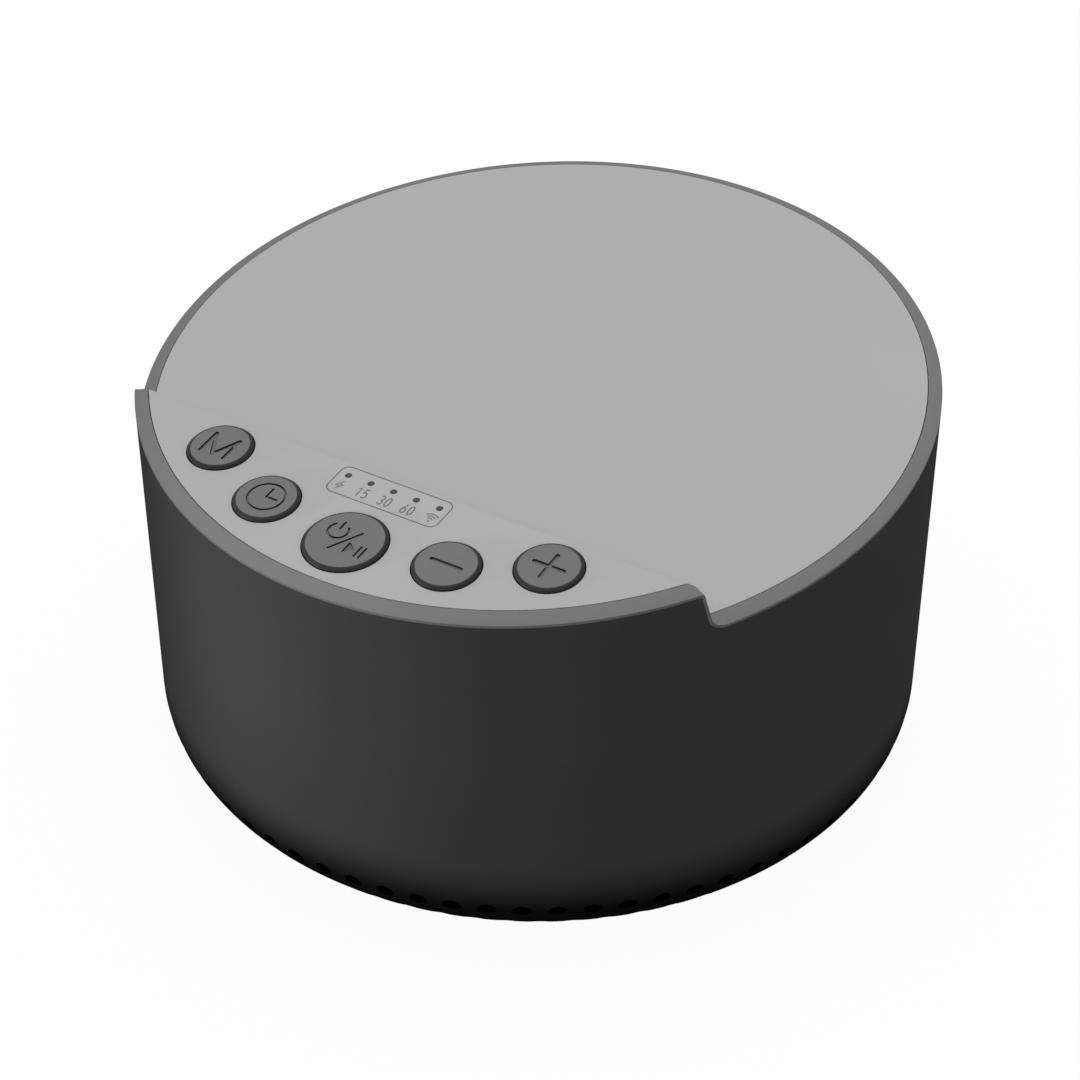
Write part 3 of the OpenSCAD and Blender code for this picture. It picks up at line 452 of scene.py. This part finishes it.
# The materials by the record's slots
MATS = {
    "shell": shell_plastic(),
    "cover": cover_plastic(),
    "trim": trim_plastic(),
    "plunger": moulded("plunger_plastic", rgb(0.02)),
    "frame": moulded("frame_plastic", rgb(0.045), rough=0.6, vary=0.08),
    "switch_metal": metal("switch_metal", rgb(0.6, 0.6, 0.62), 0.32, (8, 1, 1)),
    "screw": metal("screw_zinc", rgb(0.56, 0.56, 0.58), 0.3, (1, 1, 1), 2400),
    "tin": metal("tinned_sheet", rgb(0.66, 0.66, 0.65), 0.3, (1, 10, 1)),
    "pole_steel": metal("pole_steel", rgb(0.5, 0.5, 0.49), 0.35, (1, 1, 1), 1500),
    "connector": moulded("connector_nylon", rgb(0.78, 0.74, 0.62), rough=0.45, vary=0.03),
    "chip": moulded("chip_epoxy", rgb(0.016), rough=0.55, vary=0.1, grain=0.004),
    "strap": moulded("strap_plastic", rgb(0.02)),
    "lead_red": moulded("lead_red_pvc", rgb(0.42, 0.02, 0.02), rough=0.4),
    "lead_black": moulded("lead_black_pvc", rgb(0.02), rough=0.4),
    "lead_grey": moulded("lead_grey_pvc", rgb(0.3), rough=0.4),
    "foot": moulded("foot_rubber", rgb(0.022), rough=0.75, vary=0.12, grain=0.01),
    "surround": moulded("surround_rubber", rgb(0.02), rough=0.6, vary=0.1),
    "light_guide": moulded("light_guide_resin", rgb(0.05), rough=0.3, vary=0.05, grain=0.0005),
    "led": moulded("led_resin", rgb(0.85, 0.8, 0.5), rough=0.2),
    "board": board_mask(),
    "cell_wrap": cell_wrap(),
    "ribbon": ribbon_laminate(),
    "basket": moulded("basket_paint", rgb(0.03), rough=0.38, vary=0.1, grain=0.01,
                      grain_scale=1400),
    "ferrite": moulded("ferrite", rgb(0.055, 0.055, 0.06), vary=0.2, grain=0.01,
                       grain_scale=1800),
    "winding": copper_winding(),
    "spider": cloth("spider_cloth", rgb(0.45, 0.29, 0.1), 420, 0.03),
    "screen": cloth("screen_cloth", rgb(0.03), 700, 0.05),
    "cone": cone_paper(),
    "ink": moulded("strip_ink", rgb(0.17), grain=0.002, spec=0.2),
}

# The buttons' places on the panel: degrees from the front, and their holes' diameters
BUTTON_PITCH_R = 43.4
BUTTON_RIM = 0.62
BUTTONS = {
    "mode": (-33.5, 8.7),
    "timer": (-17.5, 8.7),
    "power": (0.0, 10.8),
    "minus": (17.5, 8.7),
    "plus": (33.5, 8.7),
}
for name, (turn, hole) in BUTTONS.items():
    a = math.radians(turn)
    MATS["button_" + name] = button_plastic(name, BUTTON_PITCH_R * math.sin(a),
                                            -BUTTON_PITCH_R * math.cos(a), hole / 2 - BUTTON_RIM)

for part in frame["record"]["subparts"]:
    ob = nodes[part["node"]]
    ob.data.materials.clear()
    ob.data.materials.append((MATS.get(part["node"]) or MATS[part["material_slot"]]).mat)


# ---------------------------------------------------------------- mesh helper
def make(name, verts, faces, mat, body, slot, sharp):
    """A piece with smooth shading up to the sharp angle, on its body. Its slot is not used."""
    me = bpy.data.meshes.new(name)
    me.from_pydata([tuple(v) for v in verts], [], faces)
    me.validate()
    me.materials.append(MATS[mat].mat)
    for p in me.polygons:
        p.use_smooth = True
    me.set_sharp_from_angle(angle=math.radians(sharp))
    ob = bpy.data.objects.new(name, me)
    scene.collection.objects.link(ob)
    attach(ob, body)
    return ob


# ---------------------------------------------------------------- trim ring
LIP_R = 50.2
SKIRT_R = 51.0
SKIRT_DEPTH = 5.2
LEDGE_R = 49.4
LEDGE_DEPTHS = (2.0, 3.4)
STEP = 0.75
FINE_STEP = 0.125
# The riser crosses the ring between these angles from the front
RISER_SPAN = (48.5, 60.5)

# (radius, depth under the top) round the ring's section, with its chamfer towards the outside
RING_SECTION = [
    (LIP_R, 0.05), (LIP_R + 0.06, 0.0), (LIP_R + 0.35, 0.03),
    (CASE_R - 0.32, 0.5), (CASE_R - 0.12, 0.58), (CASE_R, 0.66),
    (CASE_R, 1.0), (SKIRT_R, 1.0), (SKIRT_R, SKIRT_DEPTH), (LIP_R, SKIRT_DEPTH),
    (LIP_R, LEDGE_DEPTHS[1]), (LEDGE_R, LEDGE_DEPTHS[1]),
    (LEDGE_R, LEDGE_DEPTHS[0]), (LIP_R, LEDGE_DEPTHS[0]),
]


def round_angles():
    """Angles round the case in degrees, close together where the ring steps up the riser."""
    angles = []
    a = 0.0
    while a < 360.0 - 1e-9:
        angles.append(a)
        near, far = RISER_SPAN
        a += FINE_STEP if near < min(a, 360 - a) < far else STEP
    return angles


def swept(section, angles):
    """Verts and faces of a closed section, carried round the top's edge."""
    verts, faces = [], []
    k, n = len(section), len(angles)
    for a in angles:
        s, c = math.sin(math.radians(a)), -math.cos(math.radians(a))
        for r, d in section:
            verts.append(Vector((r * s, r * c, top_z(r * c, d))) * MM)
    for i in range(n):
        j = (i + 1) % n
        for q in range(k):
            q2 = (q + 1) % k
            faces.append((i * k + q, i * k + q2, j * k + q2, j * k + q))
    return verts, faces


ring = make("trim_ring_chamfered", *swept(RING_SECTION, round_angles()), "trim", "case", "trim", 28)
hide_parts("trim_ring")


# ---------------------------------------------------------------- printed strip
def ribbon(points, width, closed=False):
    """Flat line of a given width along points in the panel's plane: verts and faces."""
    n = len(points)
    pts = [Vector(p) for p in points]
    verts = []
    for i in range(n):
        if closed:
            before, after = pts[i - 1], pts[(i + 1) % n]
        else:
            before = pts[i - 1] if i else pts[i] * 2 - pts[i + 1]
            after = pts[i + 1] if i < n - 1 else pts[i] * 2 - pts[i - 1]
        u, v = (pts[i] - before).normalized(), (after - pts[i]).normalized()
        m = left(u) + left(v)
        m = m / max(m.length_squared / 2, 0.35)
        verts += [pts[i] + m * width / 2, pts[i] - m * width / 2]
    faces = []
    for i in range(n if closed else n - 1):
        j = (i + 1) % n
        faces.append((2 * i, 2 * i + 1, 2 * j + 1, 2 * j))
    return verts, faces


def arc(cx, cy, rx, ry, a0, a1, steps=14):
    turns = [math.radians(a0 + (a1 - a0) * i / steps) for i in range(steps + 1)]
    return [(cx + rx * math.cos(a), cy + ry * math.sin(a)) for a in turns]


# Digits 1 wide and 2 tall, as open lines
DIGITS = {
    "1": [(-0.28, 0.62), (0.1, 1.0), (0.1, -1.0)],
    "5": [(0.42, 1.0), (-0.34, 1.0), (-0.4, 0.12)] + arc(0.0, -0.36, 0.46, 0.62, 125, -140, 16),
    "3": arc(0.0, 0.5, 0.42, 0.5, 150, -80, 12) + arc(0.0, -0.5, 0.47, 0.5, 85, -150, 12),
    "0": arc(0.0, 0.0, 0.46, 1.0, 90, 450, 28)[:-1],
    "6": [(0.3, 1.0)] + arc(0.02, -0.42, 0.47, 0.56, 150, 510, 24),
}
CLOSED = {"0"}

INK_T = 0.012
LINE_W = 0.17
STRIP_Y = -34.16
STRIP_HALF_W, STRIP_HALF_H, STRIP_ROUND = 8.03, 2.43, 1.05
LABEL_Y = -35.15
LABEL_PITCH = 3.33
DIGIT_HALF_H, DIGIT_W, DIGIT_STEP = 0.78, 0.62, 0.98

strip_verts, strip_faces = [], []


def ink(verts, faces):
    """Adds a flat shape on the panel, as a closed film of the ink's thickness."""
    base, n = len(strip_verts), len(verts)
    strip_verts.extend(on_panel(v[0], v[1], INK_T) for v in verts)
    strip_verts.extend(on_panel(v[0], v[1]) for v in verts)
    tops = [tuple(base + i for i in f) for f in faces]
    strip_faces.extend(tops)
    strip_faces.extend(tuple(i + n for i in reversed(f)) for f in tops)
    edges = [e for f in tops for e in zip(f, f[1:] + f[:1])]
    inner = set(edges)
    strip_faces.extend((a, a + n, b + n, b) for a, b in edges if (b, a) not in inner)


def line(points, width=LINE_W, closed=False):
    ink(*ribbon(points, width, closed))


def strip_frame():
    x, y, r = STRIP_HALF_W - STRIP_ROUND, STRIP_HALF_H - STRIP_ROUND, STRIP_ROUND
    points = []
    for cx, cy, a0 in ((x, y, 0), (-x, y, 90), (-x, -y, 180), (x, -y, 270)):
        points += arc(cx, STRIP_Y + cy, r, r, a0, a0 + 90, 10)
    line(points, 0.16, closed=True)


def number(text, cx):
    for k, ch in enumerate(text):
        x0 = cx + (k - (len(text) - 1) / 2) * DIGIT_STEP
        line([(x0 + x * DIGIT_W, LABEL_Y + y * DIGIT_HALF_H) for x, y in DIGITS[ch]],
             closed=ch in CLOSED)


def charging_mark(cx):
    bolt = [(0.2, 0.85), (-0.5, -0.1), (-0.02, -0.1), (-0.2, -0.85), (0.5, 0.12), (0.02, 0.12)]
    line([(cx + x, LABEL_Y + y) for x, y in bolt], 0.14, closed=True)


def wireless_mark(cx):
    """A dot and three arcs."""
    cy = LABEL_Y - 0.55
    line(arc(cx, cy, 0.07, 0.07, 0, 360, 12)[:-1], 0.13, closed=True)
    for r in (0.5, 0.88, 1.26):
        line(arc(cx, cy, r, r, 48, 132, 12), 0.15)


strip_frame()
number("15", -LABEL_PITCH)
number("30", 0.0)
number("60", LABEL_PITCH)
charging_mark(-2 * LABEL_PITCH)
wireless_mark(2 * LABEL_PITCH)
make("printed_strip", strip_verts, strip_faces, "ink", "case", "cover", 30)

# ---------------------------------------------------------------- floor and world
# The camera sees them white, with the object's shadow on the floor. They light the object less.
FLOOR_HALF = 2.5
FLOOR_GLOW = 0.96
SOFT_LIGHT = 0.57

me = bpy.data.meshes.new("floor")
corners = [(-1, -1), (1, -1), (1, 1), (-1, 1)]
me.from_pydata([(x * FLOOR_HALF, y * FLOOR_HALF, 0) for x, y in corners], [], [(0, 1, 2, 3)])
floor = bpy.data.objects.new("floor", me)
scene.collection.objects.link(floor)

paper = Graph("floor_paper")
paper.rough(0.9)
seen = paper.add("ShaderNodeLightPath").outputs["Is Camera Ray"]
paper.colour(paper.shade(paper.mix(seen, rgb(0.04), rgb(0.9)),
                         paper.spread(paper.noise(30, 2), 0.99, 1.01)))
glow = paper.add("ShaderNodeEmission")
paper.put(rgb(1.0), glow.inputs["Color"])
paper.put(1.0, glow.inputs["Strength"])
blend = paper.add("ShaderNodeMixShader")
paper.link(paper.math("MULTIPLY", seen, FLOOR_GLOW), blend.inputs[0])
paper.link(paper.bsdf.outputs[0], blend.inputs[1])
paper.link(glow.outputs[0], blend.inputs[2])
paper.link(blend.outputs[0], paper.out.inputs[0])
me.materials.append(paper.mat)

world = bpy.data.worlds.new("studio")
scene.world = world
world.use_nodes = True
nt = world.node_tree
nt.nodes.clear()


def backdrop(strength):
    n = nt.nodes.new("ShaderNodeBackground")
    n.inputs["Color"].default_value = rgb(1.0)
    n.inputs["Strength"].default_value = strength
    return n.outputs[0]


out = nt.nodes.new("ShaderNodeOutputWorld")
path = nt.nodes.new("ShaderNodeLightPath")
blend = nt.nodes.new("ShaderNodeMixShader")
nt.links.new(path.outputs["Is Camera Ray"], blend.inputs[0])
nt.links.new(backdrop(SOFT_LIGHT), blend.inputs[1])
nt.links.new(backdrop(1.0), blend.inputs[2])
nt.links.new(blend.outputs[0], out.inputs[0])


# ---------------------------------------------------------------- lights and camera
def aim(ob, target):
    ob.rotation_euler = (Vector(target) - ob.location).to_track_quat("-Z", "Y").to_euler()


def lamp(name, at, target, size, power, spread):
    data = bpy.data.lights.new(name, "AREA")
    data.shape = "RECTANGLE"
    data.size, data.size_y = size
    data.energy = power
    data.spread = math.radians(spread)
    ob = bpy.data.objects.new(name, data)
    ob.location = at
    scene.collection.objects.link(ob)
    aim(ob, target)


lamp("top_softbox", at=(0.0, 0.0, 1.3), target=(0, 0, 0.04), size=(1.2, 1.2), power=6.0, spread=180)
# A narrow beam along the wall's left front
lamp("left_softbox", at=(-0.6731, -0.7401, 0.036), target=(0.0216, -0.0208, 0.04),
     size=(0.02, 0.07), power=0.0047, spread=4.1)

data = bpy.data.cameras.new("camera")
data.sensor_width = 36.0
data.sensor_height = 36.0
data.sensor_fit = "HORIZONTAL"
data.lens = 88.05
data.shift_x = 0.0016
data.clip_start = 0.01
data.clip_end = 20
camera = bpy.data.objects.new("camera", data)
scene.collection.objects.link(camera)
camera.location = (0.1534, -0.2473, 0.2371)
aim(camera, (0, 0, 0.02766))
scene.camera = camera

scene.view_settings.view_transform = "Standard"
